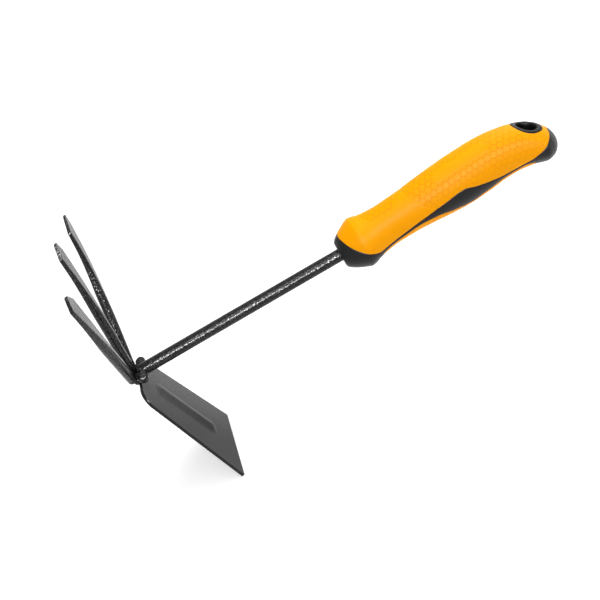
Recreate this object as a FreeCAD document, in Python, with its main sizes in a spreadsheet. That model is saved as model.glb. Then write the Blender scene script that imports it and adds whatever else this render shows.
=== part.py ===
import FreeCAD, Part
import Sketcher
import math
import os

# Combined hand hoe and three-tine rake with a moulded grip.
# Frame: +X runs from the head to the grip along the shaft, +Z is the side
# the tines point to, and the origin is the middle of the hanging hole.
# The head datum, from which most places are measured, is the point on the
# shaft's axis where the tines, the blade and the shaft meet.

doc = FreeCAD.newDocument("hoe_and_rake")

# Driving sizes in millimetres and degrees: name, value, what it is.
SIZES = [
    ("shaft_diameter", 8.0, "round steel rod between head and grip"),
    ("shaft_stand_off", 1.2, "end of the rod, ahead of the head datum"),
    ("shaft_bare_length", 144.2, "head datum to the front of the grip"),
    ("tang_length", 86.0, "rod inside the grip"),
    ("tang_flat_length", 58.0, "flats that stop the rod turning in the grip"),
    ("tang_flat_depth", 0.8, "depth of each flat"),
    ("blade_lean", 10.9, "degrees the blade leans towards the grip"),
    ("blade_setback", 1.0, "front of the blade behind the head datum"),
    ("blade_drop", 3.8, "top edge of the blade below the head datum"),
    ("blade_length", 93.5, "top edge to cutting edge"),
    ("blade_top_width", 42.2, "width at the top edge, corners unrounded"),
    ("blade_edge_width", 59.6, "width of the cutting edge"),
    ("blade_thickness", 2.0, "sheet thickness"),
    ("blade_shoulder_radius", 8.5, "rounding of the two top corners"),
    ("blade_tip_radius", 0.8, "rounding of the two cutting corners"),
    ("rib_width", 9.6, "pressed rib, across"),
    ("rib_height", 1.9, "pressed rib, above the sheet"),
    ("rib_start", 18.5, "upper end of the rib below the head datum"),
    ("rib_length", 57.0, "end to end"),
    ("tine_rod_diameter", 6.0, "round rod that each tine is forged from"),
    ("tine_flat_width", 11.8, "spade tip, across"),
    ("tine_flat_thickness", 2.0, "spade tip, through"),
    ("tine_point_length", 7.0, "length of the pointed end"),
    ("tine_point_width", 2.4, "blunt end of the point"),
    ("tine_corner_radius", 0.55, "softened edges of the spade tip"),
    ("tine_root_height", 3.0, "height above the datum where a tine starts to lean"),
    ("tine_foot_height", 0.8, "lower end of a tine's root above the datum"),
    ("tine_root_pitch", 7.5, "root of an outer tine beside the middle one"),
    ("middle_root_setback", 2.2, "middle root behind the head datum"),
    ("middle_tine_height", 99.5, "head datum to the middle tip"),
    ("middle_tine_lean", 16.2, "how far the middle tip leans to the grip"),
    ("outer_root_setback", 3.0, "outer roots behind the head datum"),
    ("outer_tine_height", 92.4, "head datum to the outer tips"),
    ("outer_tine_lean", 17.9, "how far the outer tips lean to the grip"),
    ("outer_tine_spread", 36.8, "how far the outer tips stand outwards"),
    ("lobe_diameter", 6.6, "weld lobes on both sides of the rod's end"),
    ("lobe_reach", 11.2, "outer end of a lobe from the middle"),
    ("lobe_advance", 3.1, "axis of the lobes ahead of the head datum"),
    ("root_weld_diameter", 6.2, "weld run that joins roots, rod and blade"),
    ("root_weld_reach", 8.8, "outer end of that run from the middle"),
    ("root_weld_setback", 0.9, "its axis behind the head datum"),
    ("root_weld_drop", 1.3, "its axis below the head datum"),
    ("grip_length", 146.1, "front rim to the end of the pommel"),
    ("grip_radius", 16.45, "ring behind the nose"),
    ("grip_rise", 5.95, "how far the grip arches above the rod's axis"),
    ("nose_rim_radius", 8.2, "front rim of the nose"),
    ("soft_skin", 2.0, "depth of the soft moulding in the core"),
    ("hole_to_end", 19.2, "hanging hole's middle from the end of the pommel"),
    ("hole_rise", 2.1, "hanging hole's middle above the rod's axis"),
    ("hole_tilt", 24.0, "degrees the hole leans towards the pommel"),
    ("hole_diameter", 11.8, "clear bore of the hanging hole"),
    ("liner_wall", 2.4, "wall of the sleeve that lines the hole"),
    ("cut_overrun", 30.0, "how far every cutting solid runs past"),
]

dims = doc.addObject("Spreadsheet::Sheet", "dims")
for row, (alias, value, note) in enumerate(SIZES, start=1):
    dims.set(f"A{row}", note)
    dims.set(f"B{row}", str(value))
    dims.setAlias(f"B{row}", alias)
doc.recompute()


def size(alias):
    return float(dims.get(alias))


# Helpers that draw, place and join

HOLE_ALONG = "(dims.shaft_bare_length + dims.grip_length - dims.hole_to_end)"


def new_body(name):
    body = doc.addObject("PartDesign::Body", name)
    body.Label = name
    return body


def origin_plane(body, role):
    return next(f for f in body.Origin.OriginFeatures if f.Role == role)


def from_head(item, ahead="0", aside="0", above="0"):
    """Place an object by its distances from the head datum."""
    item.setExpression("Placement.Base.x", f"{ahead} - {HOLE_ALONG}")
    item.setExpression("Placement.Base.y", aside)
    item.setExpression("Placement.Base.z", f"{above} - dims.hole_rise")


def turned_about_y(item, degrees):
    axis = FreeCAD.Vector(0, 1, 0)
    item.Placement = FreeCAD.Placement(FreeCAD.Vector(), FreeCAD.Rotation(axis, 1))
    item.setExpression("Placement.Rotation.Angle", degrees)


def new_sketch(body, name, role, along="0", right="0", up="0"):
    """A sketch on one of the body's own planes, moved along its normal."""
    sketch = body.newObject("Sketcher::SketchObject", name)
    sketch.AttachmentSupport = (origin_plane(body, role), [""])
    sketch.MapMode = "FlatFace"
    sketch.setExpression("AttachmentOffset.Base.x", right)
    sketch.setExpression("AttachmentOffset.Base.y", up)
    sketch.setExpression("AttachmentOffset.Base.z", along)
    return sketch


def constrain(sketch, name, formula, *where):
    """A driving dimension of a sketch, bound to the sheet."""
    index = sketch.addConstraint(Sketcher.Constraint(*where))
    sketch.renameConstraint(index, name)
    sketch.setExpression(f"Constraints.{name}", formula)


def circle_profile(sketch, diameter):
    radius = size("shaft_diameter")
    sketch.addGeometry(Part.Circle(FreeCAD.Vector(), FreeCAD.Vector(0, 0, 1), radius))
    sketch.addConstraint(Sketcher.Constraint("Coincident", 0, 3, -1, 1))
    constrain(sketch, "diameter", diameter, "Diameter", 0, 2 * radius)


def closed_lines(sketch, points, formulas):
    """A closed outline whose corners are bound to the sheet, two each."""
    count = len(points)
    for i, point in enumerate(points):
        start = FreeCAD.Vector(*point)
        end = FreeCAD.Vector(*points[(i + 1) % count])
        sketch.addGeometry(Part.LineSegment(start, end))
    for i in range(count):
        join = Sketcher.Constraint("Coincident", i, 2, (i + 1) % count, 1)
        sketch.addConstraint(join)
    for i, (x_formula, y_formula) in enumerate(formulas):
        for axis, kind, formula in (
            (0, "DistanceX", x_formula),
            (1, "DistanceY", y_formula),
        ):
            if formula == "0":
                on_axis = -2 if axis == 0 else -1
                sketch.addConstraint(
                    Sketcher.Constraint("PointOnObject", i, 1, on_axis)
                )
                continue
            value = points[i][axis]
            constrain(
                sketch, f"corner{i}{kind[-1]}", formula, kind, -1, 1, i, 1, value
            )


def evaluate(formula):
    """The present value of a formula, for a sketch's first drawing."""
    return float(dims.evalExpression(formula.replace("dims.", "")))


def outline_sketch(body, name, role, corners, **where):
    sketch = new_sketch(body, name, role, **where)
    points = [(evaluate(x), evaluate(y), 0) for x, y in corners]
    closed_lines(sketch, points, corners)
    return sketch


def slab_section(body, name, role, across, through, corner, **where):
    """A rectangle with rounded corners: across on local Y, through on X."""
    sketch = new_sketch(body, name, role, **where)
    hx, hy, r = evaluate(through) / 2, evaluate(across) / 2, evaluate(corner)
    V = FreeCAD.Vector
    up = V(0, 0, 1)
    lines = [
        (V(hx - r, -hy, 0), V(-hx + r, -hy, 0)),
        (V(-hx, -hy + r, 0), V(-hx, hy - r, 0)),
        (V(-hx + r, hy, 0), V(hx - r, hy, 0)),
        (V(hx, hy - r, 0), V(hx, -hy + r, 0)),
    ]
    centres = [V(-hx + r, -hy + r, 0), V(-hx + r, hy - r, 0)]
    centres += [V(hx - r, hy - r, 0), V(hx - r, -hy + r, 0)]
    starts = [math.pi, math.pi / 2, 0, -math.pi / 2]
    for line, centre, start in zip(lines, centres, starts):
        sketch.addGeometry(Part.LineSegment(*line))
        circle = Part.Circle(centre, up, r)
        sketch.addGeometry(Part.ArcOfCircle(circle, start, start + math.pi / 2))
    for i in range(4):
        line, arc, after = 2 * i, 2 * i + 1, (2 * i + 2) % 8
        sketch.addConstraint(Sketcher.Constraint("Tangent", line, 2, arc, 2))
        sketch.addConstraint(Sketcher.Constraint("Tangent", arc, 1, after, 1))
        way = "Horizontal" if i % 2 == 0 else "Vertical"
        sketch.addConstraint(Sketcher.Constraint(way, line))
        if i:
            sketch.addConstraint(Sketcher.Constraint("Equal", 1, arc))
    sketch.addConstraint(Sketcher.Constraint("Symmetric", 1, 3, 5, 3, -1, 1))
    constrain(sketch, "across", across, "DistanceY", 0, 1, 4, 1, 2 * hy)
    constrain(sketch, "through", through, "DistanceX", 2, 1, 6, 1, 2 * hx)
    constrain(sketch, "corner", corner, "Radius", 1, r)
    return sketch


# The four arcs of an oval meet where their common normal leans half a right
# angle, which fixes the radius of the side arcs by height and width.
LEAN_TANGENT_SHARE = math.tan(math.pi / 8)
LEAN_SINE_SHARE = math.sqrt(0.5)
SIDE_SHARE = LEAN_SINE_SHARE - LEAN_TANGENT_SHARE * (1 - LEAN_SINE_SHARE)


def oval_section(body, name, half_width, half_height, **where):
    """A draughtsman's oval of four arcs, across the shaft."""
    sketch = new_sketch(body, name, "YZ_Plane", **where)
    a, b = evaluate(half_width), evaluate(half_height)
    side = (b - LEAN_TANGENT_SHARE * a) / SIDE_SHARE
    cap = (a - side * (1 - LEAN_SINE_SHARE)) / LEAN_SINE_SHARE
    V = FreeCAD.Vector
    quarter = math.pi / 4
    arcs = [
        (V(a - side, 0, 0), side, -quarter),
        (V(0, b - cap, 0), cap, quarter),
        (V(side - a, 0, 0), side, 3 * quarter),
        (V(0, cap - b, 0), cap, 5 * quarter),
    ]
    for centre, radius, start in arcs:
        circle = Part.Circle(centre, V(0, 0, 1), radius)
        sketch.addGeometry(Part.ArcOfCircle(circle, start, start + 2 * quarter))
    for i in range(4):
        join = Sketcher.Constraint("Coincident", i, 2, (i + 1) % 4, 1)
        sketch.addConstraint(join)
    # The first joint stands at the upper right and the other three mirror it.
    sketch.addConstraint(Sketcher.Constraint("Symmetric", 0, 2, 1, 2, -2))
    sketch.addConstraint(Sketcher.Constraint("Symmetric", 0, 2, 3, 2, -1))
    sketch.addConstraint(Sketcher.Constraint("Symmetric", 0, 2, 2, 2, -1, 1))
    sketch.addConstraint(Sketcher.Constraint("Equal", 0, 2))
    sketch.addConstraint(Sketcher.Constraint("Equal", 1, 3))
    side_size = side_formula(half_width, half_height)
    joint_out = f"({half_width}) - ({side_size}) * {1 - LEAN_SINE_SHARE}"
    joint_up = f"({side_size}) * {LEAN_SINE_SHARE}"
    cap_size = f"({joint_out}) / {LEAN_SINE_SHARE}"
    out, above = cap * LEAN_SINE_SHARE, side * LEAN_SINE_SHARE
    constrain(sketch, "joint_out", joint_out, "DistanceX", -1, 1, 0, 2, out)
    constrain(sketch, "joint_up", joint_up, "DistanceY", -1, 1, 0, 2, above)
    constrain(sketch, "side", side_size, "Radius", 0, side)
    constrain(sketch, "cap", cap_size, "Radius", 1, cap)
    return sketch


def side_formula(half_width, half_height):
    share = LEAN_TANGENT_SHARE
    return f"(({half_height}) - ({half_width}) * {share}) / {SIDE_SHARE}"


def loft(body, name, sections):
    """A solid through the sections, straight from each one to the next."""
    feature = body.newObject("PartDesign::AdditiveLoft", name)
    feature.Profile = (sections[0], [""])
    feature.Sections = [(section, [""]) for section in sections[1:]]
    feature.Ruled = True
    for section in sections:
        section.Visibility = False
    return feature


def boolean(kind, name, base, tool):
    item = doc.addObject(f"Part::{kind}", name)
    item.Label = name
    item.Base = base
    item.Tool = tool
    return item


def fused(name, pieces):
    item = doc.addObject("Part::MultiFuse", name)
    item.Label = name
    item.Shapes = pieces
    return item


# The shaft: a round rod from the head deep into the grip

shaft = new_body("shaft")
from_head(shaft)
rod = new_sketch(shaft, "rod_section", "YZ_Plane", along="dims.shaft_stand_off")
circle_profile(rod, "dims.shaft_diameter")
rod_pad = shaft.newObject("PartDesign::Pad", "rod")
rod_pad.Profile = rod
rod_pad.setExpression(
    "Length", "dims.shaft_bare_length + dims.tang_length - dims.shaft_stand_off"
)

# Two flats on the sides of the tang keep the grip from turning on the rod.
flat_inner = "dims.shaft_diameter / 2 - dims.tang_flat_depth"
flat_outer = "dims.shaft_diameter"
flat_half = "dims.shaft_diameter"
TANG_END = "dims.shaft_bare_length + dims.tang_length"
for side_name, sign in (("left", "-1"), ("right", "1")):
    corners = [
        (f"({flat_inner}) * {sign}", f"{flat_half} * -1"),
        (f"{flat_outer} * {sign}", f"{flat_half} * -1"),
        (f"{flat_outer} * {sign}", flat_half),
        (f"({flat_inner}) * {sign}", flat_half),
    ]
    flat = outline_sketch(
        shaft, f"flat_{side_name}_outline", "YZ_Plane", corners, along=TANG_END
    )
    pocket = shaft.newObject("PartDesign::Pocket", f"flat_{side_name}")
    pocket.Profile = flat
    pocket.setExpression("Length", "dims.tang_flat_length")

# The hoe blade: a leaning sheet with a pressed rib

sheet_body = new_body("blade_sheet")
turned_about_y(sheet_body, "dims.blade_lean * -1")
from_head(sheet_body, ahead="dims.blade_setback * -1")
top_z = "dims.blade_drop * -1"
edge_z = "(dims.blade_drop + dims.blade_length) * -1"
corners = [
    ("dims.blade_top_width / -2", top_z),
    ("dims.blade_edge_width / -2", edge_z),
    ("dims.blade_edge_width / 2", edge_z),
    ("dims.blade_top_width / 2", top_z),
]
sheet_outline = outline_sketch(sheet_body, "blade_outline", "YZ_Plane", corners)
sheet_pad = sheet_body.newObject("PartDesign::Pad", "blade_pad")
sheet_pad.Profile = sheet_outline
sheet_pad.Reversed = True
sheet_pad.setExpression("Length", "dims.blade_thickness")
doc.recompute()


def through_edges(shape, wanted_z):
    """The names of the edges that run through the sheet at one height."""
    found = []
    for number, edge in enumerate(shape.Edges, start=1):
        a, b = edge.Vertexes[0].Point, edge.Vertexes[-1].Point
        through = abs(a.y - b.y) + abs(a.z - b.z) < 1e-6
        if through and abs(a.z - wanted_z) < 1e-6:
            found.append(f"Edge{number}")
    return found


shoulders = sheet_body.newObject("PartDesign::Fillet", "blade_shoulders")
shoulders.Base = (sheet_pad, through_edges(sheet_pad.Shape, evaluate(top_z)))
shoulders.setExpression("Radius", "dims.blade_shoulder_radius")
doc.recompute()
cutting_corners = sheet_body.newObject("PartDesign::Fillet", "cutting_corners")
cutting_corners.Base = (
    shoulders,
    through_edges(shoulders.Shape, evaluate(edge_z)),
)
cutting_corners.setExpression("Radius", "dims.blade_tip_radius")

# The pressed rib is the front of a long round-ended bar let into the sheet.
# The same bar, thinner by the sheet, leaves the hollow behind the rib.
RIB_RADIUS = "(dims.rib_width ^ 2 / 4 + dims.rib_height ^ 2) / (2 * dims.rib_height)"
RIB_SINK = f"({RIB_RADIUS}) - dims.rib_height"
RIB_STRAIGHT = "dims.rib_length - dims.rib_width"
LEAN_COS = "cos(dims.blade_lean * 1 deg)"
LEAN_SIN = "sin(dims.blade_lean * 1 deg)"


def on_blade(item, forward, down):
    """Place an object on the leaning sheet: off its front, and down it."""
    turned_about_y(item, "dims.blade_lean * -1")
    from_head(
        item,
        ahead=f"({forward}) * {LEAN_COS} + ({down}) * {LEAN_SIN}"
        " - dims.blade_setback",
        above=f"({forward}) * {LEAN_SIN} - ({down}) * {LEAN_COS}",
    )


def round_ended_bar(name, radius):
    bar = doc.addObject("Part::Cylinder", f"{name}_bar")
    bar.setExpression("Radius", radius)
    bar.setExpression("Height", RIB_STRAIGHT)
    low = "dims.rib_start + dims.rib_length - dims.rib_width / 2"
    high = "dims.rib_start + dims.rib_width / 2"
    on_blade(bar, f"-({RIB_SINK})", low)
    ends = []
    for end_name, down in (("upper", high), ("lower", low)):
        end = doc.addObject("Part::Sphere", f"{name}_{end_name}_end")
        end.setExpression("Radius", radius)
        on_blade(end, f"-({RIB_SINK})", down)
        end.setExpression("Placement.Rotation.Angle", "180 - dims.blade_lean")
        ends.append(end)
    return fused(name, [bar] + ends)


rib_bar = round_ended_bar("rib_bar", RIB_RADIUS)
rib_hollow = round_ended_bar("rib_hollow", f"{RIB_RADIUS} - dims.blade_thickness")
rib_front = doc.addObject("Part::Box", "rib_front")
rib_front.setExpression("Length", "dims.rib_width")
rib_front.setExpression("Width", "dims.rib_width * 2")
rib_front.setExpression("Height", "dims.blade_length")
on_blade(rib_front, "0", "dims.blade_drop + dims.blade_length")
rib_front.setExpression("Placement.Base.y", "dims.rib_width * -1")
rib_cap = boolean("Common", "rib_cap", rib_bar, rib_front)
ribbed_sheet = boolean("Fuse", "ribbed_sheet", sheet_body, rib_cap)
hoe_blade = boolean("Cut", "hoe_blade", ribbed_sheet, rib_hollow)

# The three tines

# Each tine is a round rod forged flat into a spade tip. Its level sections
# are named by their share of the tine's height; at each the tables give the
# share of the lean, of the sideways spread and of the forging done.
RISE_SHARES = [0.0, 0.27, 0.43, 0.48, 0.53, 0.58, 0.72, 0.87]
MIDDLE_LEAN_SHARES = [0.0, 0.30, 0.475, 0.53, 0.585, 0.64, 0.785, 0.91]
OUTER_LEAN_SHARES = [0.0, 0.31, 0.48, 0.536, 0.594, 0.65, 0.79, 0.91]
OUTER_SPREAD_SHARES = [0.0, 0.345, 0.53, 0.585, 0.639, 0.69, 0.815, 0.925]
WIDTH_SHARES = [0.0, 0.0, 0.02, 0.049, 0.104, 0.17, 0.46, 0.94]
THIN_SHARES = [0.0, 0.0, 0.08, 0.162, 0.292, 0.42, 0.72, 0.96]
ROUND_SHARES = [0.96, 0.96, 0.88, 0.792, 0.658, 0.55, 0.40, 0.50]


def tine(name, height, lean, root_setback, spread, root_aside, lean_shares, sign):
    body = new_body(name)
    from_head(body, ahead=f"{root_setback} * -1", aside=root_aside)
    rod_width = "dims.tine_rod_diameter"
    wide_gain = "(dims.tine_flat_width - dims.tine_rod_diameter)"
    thin_loss = "(dims.tine_rod_diameter - dims.tine_flat_thickness)"
    if sign:
        # A level cut through a tine that stands outwards is wider.
        slant = f"sqrt(1 + ({spread} / {height}) ^ 2)"
    else:
        slant = "1"
    run = f"({height} - dims.tine_root_height - dims.tine_point_length)"
    root, foot = "dims.tine_root_height", "dims.tine_foot_height"
    sections = []
    table = zip(
        RISE_SHARES,
        lean_shares,
        OUTER_SPREAD_SHARES,
        WIDTH_SHARES,
        THIN_SHARES,
        ROUND_SHARES,
    )
    top = RISE_SHARES[-1]
    for number, (rise, leaned, spread_out, wider, thinner, rounded) in enumerate(table):
        across = f"({rod_width} + {wide_gain} * {wider}) * {slant}"
        through = f"{rod_width} - {thin_loss} * {thinner}"
        corner = f"({through}) / 2 * {rounded}"
        section = slab_section(
            body,
            f"{name}_section{number}",
            "XY_Plane",
            across,
            through,
            corner,
            along=foot if number == 0 else f"{root} + {run} * {rise / top}",
            right=f"{lean} * {leaned}",
            up=f"{spread} * {spread_out} * {sign}",
        )
        sections.append(section)
    # The spade tip keeps its width to the end, where the point is cut.
    tip = slab_section(
        body,
        f"{name}_tip",
        "XY_Plane",
        f"dims.tine_flat_width * {slant}",
        "dims.tine_flat_thickness",
        "dims.tine_corner_radius",
        along=height,
        right=lean,
        up=f"{spread} * {sign}",
    )
    sections.append(tip)
    loft(body, f"{name}_rod", sections)
    neck_height = f"({height} - dims.tine_point_length)"
    neck_aside = f"{spread} * {OUTER_SPREAD_SHARES[-1]} * {sign}"
    tip_aside = f"{spread} * {sign}"
    for trim_name, way in (("near", -1), ("far", 1)):
        outside = f"dims.tine_flat_width * {slant} * {way}"
        corners = [
            (f"{neck_aside} + {outside} / 2", neck_height),
            (f"{tip_aside} + {outside}", neck_height),
            (f"{tip_aside} + {outside}", f"{height} + dims.tine_point_length"),
            (f"{tip_aside} + dims.tine_point_width / 2 * {way}", height),
        ]
        trim = outline_sketch(body, f"{name}_{trim_name}_trim", "YZ_Plane", corners)
        cut = body.newObject("PartDesign::Pocket", f"{name}_{trim_name}_cut")
        cut.Profile = trim
        cut.SideType = "Symmetric"
        cut.setExpression("Length", "dims.cut_overrun * 4")
    return body


tine_middle = tine(
    "tine_middle",
    "dims.middle_tine_height",
    "dims.middle_tine_lean",
    "dims.middle_root_setback",
    "0",
    "0",
    MIDDLE_LEAN_SHARES,
    0,
)
outer_tines = []
for tine_name, sign in (("tine_left", -1), ("tine_right", 1)):
    outer_tines.append(
        tine(
            tine_name,
            "dims.outer_tine_height",
            "dims.outer_tine_lean",
            "dims.outer_root_setback",
            "dims.outer_tine_spread",
            f"dims.tine_root_pitch * {sign}",
            OUTER_LEAN_SHARES,
            sign,
        )
    )
tine_left, tine_right = outer_tines

# The weld metal at the head


# An end of a weld run tapers to this share of its radius, over this share.
TAPER_RADIUS_SHARE = 0.62
TAPER_LENGTH_SHARE = 0.6


def weld_run(name, diameter, ahead, above, ends, tapered_ends):
    """A run of weld metal across the head, between two ends."""
    pieces = []
    first, last = ends
    run = doc.addObject("Part::Cylinder", f"{name}_run")
    run.setExpression("Radius", f"{diameter} / 2")
    run.setExpression("Height", f"{last} - ({first})")
    along_y = FreeCAD.Rotation(FreeCAD.Vector(1, 0, 0), -90)
    run.Placement = FreeCAD.Placement(FreeCAD.Vector(), along_y)
    from_head(run, ahead=ahead, aside=first, above=above)
    pieces.append(run)
    for number, (aside, way) in enumerate(tapered_ends):
        end = doc.addObject("Part::Cone", f"{name}_end{number}")
        end.setExpression("Radius1", f"{diameter} / 2")
        end.setExpression("Radius2", f"{diameter} / 2 * {TAPER_RADIUS_SHARE}")
        end.setExpression("Height", f"{diameter} / 2 * {TAPER_LENGTH_SHARE}")
        outwards = FreeCAD.Rotation(FreeCAD.Vector(1, 0, 0), -90 * way)
        end.Placement = FreeCAD.Placement(FreeCAD.Vector(), outwards)
        from_head(end, ahead=ahead, aside=aside, above=above)
        pieces.append(end)
    return fused(f"{name}_metal", pieces)


root_end = f"(dims.root_weld_reach - dims.root_weld_diameter / 2 * {TAPER_LENGTH_SHARE})"
root_metal = weld_run(
    "root_weld",
    "dims.root_weld_diameter",
    "dims.root_weld_setback * -1",
    "dims.root_weld_drop * -1",
    (f"{root_end} * -1", root_end),
    ((f"{root_end} * -1", -1), (root_end, 1)),
)
head_pieces = fused(
    "head_pieces", [shaft, tine_left, tine_middle, tine_right, hoe_blade]
)
root_weld = boolean("Cut", "root_weld", root_metal, head_pieces)

lobe_end = f"(dims.lobe_reach - dims.lobe_diameter / 2 * {TAPER_LENGTH_SHARE})"
lobe_root = "dims.shaft_diameter / 4"
lobe_cutters = fused("lobe_cutters", [head_pieces, root_metal])
welds = [root_weld]
left_ends = (f"{lobe_end} * -1", f"{lobe_root} * -1")
right_ends = (lobe_root, lobe_end)
for side_name, ends, outer_end in (
    ("left", left_ends, (left_ends[0], -1)),
    ("right", right_ends, (right_ends[1], 1)),
):
    metal = weld_run(
        f"shaft_weld_{side_name}",
        "dims.lobe_diameter",
        "dims.lobe_advance",
        "0",
        ends,
        (outer_end,),
    )
    welds.append(boolean("Cut", f"shaft_weld_{side_name}", metal, lobe_cutters))

# The grip: hard core, soft moulding and the liner of the hanging hole

# Stations along the grip: share of its length, then shares of grip_radius
# for half width and half height, then share of grip_rise.
NOSE_SHARES = [
    (0.0000, 0.505, 0.505, 0.00),
    (0.0090, 0.590, 0.590, 0.02),
    (0.0280, 0.717, 0.717, 0.05),
    (0.0520, 0.838, 0.838, 0.09),
    (0.0670, 0.901, 0.901, 0.11),
    (0.0820, 0.955, 0.955, 0.13),
    (0.0975, 1.000, 1.000, 0.14),
]
GRIP_SHARES = [
    (0.0975, 1.000, 1.000, 0.14),
    (0.1130, 0.985, 0.985, 0.15),
    (0.1330, 0.918, 0.918, 0.17),
    (0.1550, 0.858, 0.882, 0.21),
    (0.1770, 0.815, 0.860, 0.27),
    (0.2310, 0.765, 0.830, 0.38),
    (0.2750, 0.770, 0.835, 0.46),
    (0.3150, 0.781, 0.846, 0.51),
    (0.3520, 0.799, 0.868, 0.57),
    (0.3880, 0.825, 0.896, 0.61),
    (0.4230, 0.850, 0.925, 0.63),
    (0.4540, 0.873, 0.950, 0.65),
    (0.4790, 0.889, 0.969, 0.66),
    (0.5030, 0.904, 0.985, 0.68),
    (0.5270, 0.917, 0.998, 0.69),
    (0.5500, 0.929, 1.010, 0.71),
    (0.5700, 0.934, 1.016, 0.73),
    (0.5900, 0.935, 1.017, 0.75),
    (0.6100, 0.933, 1.015, 0.78),
    (0.6320, 0.931, 1.011, 0.82),
    (0.6550, 0.926, 1.005, 0.87),
    (0.6780, 0.919, 0.995, 0.91),
    (0.7000, 0.908, 0.978, 0.95),
    (0.7200, 0.900, 0.960, 0.98),
    (0.7420, 0.895, 0.938, 0.99),
    (0.7660, 0.894, 0.913, 0.97),
    (0.8060, 0.900, 0.870, 0.89),
    (0.8365, 0.920, 0.842, 0.77),
    (0.8670, 0.950, 0.815, 0.58),
    (0.8800, 0.963, 0.806, 0.47),
    (0.8930, 0.973, 0.797, 0.35),
    (0.9050, 0.981, 0.787, 0.23),
    (0.9180, 0.984, 0.772, 0.10),
    (0.9340, 0.936, 0.736, -0.05),
    (0.9500, 0.850, 0.680, -0.18),
    (0.9630, 0.762, 0.609, -0.27),
    (0.9740, 0.660, 0.530, -0.34),
    (0.9870, 0.500, 0.405, -0.39),
    (1.0000, 0.310, 0.250, -0.42),
]


# The floor under the soft moulding is an eight-sided block with flat faces.
FLOOR_SHARES = [
    (0.0000, 0.440, 0.440, 0.00),
    (0.0200, 0.540, 0.540, 0.03),
    (0.0450, 0.660, 0.660, 0.07),
    (0.0975, 0.840, 0.840, 0.14),
    (0.1770, 0.680, 0.720, 0.27),
    (0.3130, 0.645, 0.700, 0.51),
    (0.5800, 0.775, 0.845, 0.74),
    (0.7380, 0.745, 0.780, 0.99),
    (0.8670, 0.780, 0.675, 0.58),
    (0.9160, 0.800, 0.640, 0.12),
    (0.9500, 0.680, 0.540, -0.18),
    (0.9740, 0.540, 0.430, -0.34),
    (1.0000, 0.410, 0.330, -0.40),
]
FLOOR_CORNER_SHARE = 0.5


def grip_surface():
    """The grip's outer form, from the nose to the end of the pommel."""
    body = new_body("grip_form")
    from_head(body, ahead="dims.shaft_bare_length")
    ring = None
    for part_name, table in (("nose", NOSE_SHARES), ("palm", GRIP_SHARES)):
        sections = [ring] if ring else []
        for number, (along, wide, high, rise) in enumerate(table[len(sections):]):
            radius = "dims.grip_radius"
            if part_name == "nose" and number == 0:
                radius = f"dims.nose_rim_radius / {wide}"
            section = oval_section(
                body,
                f"{part_name}_section{number}",
                f"{radius} * {wide}",
                f"{radius} * {high}",
                along=f"dims.grip_length * {along}",
                up=f"dims.grip_rise * {rise}",
            )
            sections.append(section)
        loft(body, f"grip_{part_name}", sections)
        ring = sections[-1]
    return body


def soft_floor():
    """The flat-sided block that the soft moulding lies on."""
    body = new_body("soft_floor")
    from_head(body, ahead="dims.shaft_bare_length")
    sections = []
    for number, (along, wide, high, rise) in enumerate(FLOOR_SHARES):
        out = f"dims.grip_radius * {wide}"
        up = f"dims.grip_radius * {high}"
        cut = f"dims.grip_radius * {min(wide, high) * FLOOR_CORNER_SHARE}"
        quarter = [(out, f"{up} - {cut}"), (f"{out} - {cut}", up)]
        left = [(f"({x}) * -1", y) for x, y in reversed(quarter)]
        below = [(x, f"({y}) * -1") for x, y in reversed(quarter + left)]
        section = outline_sketch(
            body,
            f"floor_section{number}",
            "YZ_Plane",
            quarter + left + below,
            along=f"dims.soft_skin + (dims.grip_length - 2 * dims.soft_skin) * {along}",
            up=f"dims.grip_rise * {rise}",
        )
        sections.append(section)
    loft(body, "floor_block", sections)
    return body


grip_form = grip_surface()
grip_inner = soft_floor()

# Side view of the soft moulding, nose to pommel and back along its lower
# edge: shares of grip_length from the front rim, and of grip_radius from
# the rod's axis. Its corners stand at the stations of the grip, so that one
# straight stretch of the edge crosses each stretch of the form.
SOFT_UPPER_SHARES = [
    (0.021, 0.760),
    (0.028, 0.681),
    (0.052, 0.441),
    (0.067, 0.316),
    (0.082, 0.202),
    (0.0975, 0.090),
    (0.113, -0.022),
    (0.133, -0.152),
    (0.155, -0.226),
    (0.177, -0.233),
    (0.231, -0.153),
    (0.275, -0.081),
    (0.315, -0.006),
    (0.352, 0.065),
    (0.388, 0.134),
    (0.423, 0.198),
    (0.454, 0.253),
    (0.479, 0.296),
    (0.503, 0.335),
    (0.527, 0.372),
    (0.550, 0.405),
    (0.570, 0.349),
    (0.590, 0.295),
    (0.610, 0.246),
    (0.632, 0.194),
    (0.655, 0.143),
    (0.678, 0.091),
    (0.700, 0.044),
    (0.720, 0.009),
    (0.742, -0.015),
    (0.766, -0.021),
    (0.806, -0.022),
    (0.867, -0.023),
    (0.880, -0.030),
    (0.905, -0.037),
    (0.918, -0.033),
    (0.934, -0.014),
    (0.950, 0.024),
    (0.963, 0.073),
    (0.974, 0.129),
    (0.987, 0.215),
    (1.010, 0.420),
]
SOFT_LOWER_SHARES = [
    (0.866, -0.236),
    (0.8365, -0.181),
    (0.806, -0.143),
    (0.766, -0.143),
    (0.742, -0.158),
    (0.720, -0.185),
    (0.700, -0.209),
    (0.678, -0.239),
    (0.655, -0.274),
    (0.632, -0.315),
    (0.610, -0.354),
    (0.590, -0.384),
    (0.570, -0.399),
    (0.550, -0.396),
    (0.527, -0.370),
    (0.503, -0.327),
    (0.479, -0.272),
    (0.454, -0.214),
    (0.423, -0.155),
    (0.388, -0.125),
    (0.352, -0.131),
    (0.315, -0.171),
    (0.275, -0.237),
    (0.231, -0.309),
    (0.177, -0.395),
    (0.155, -0.500),
    (0.140, -0.640),
]


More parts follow.
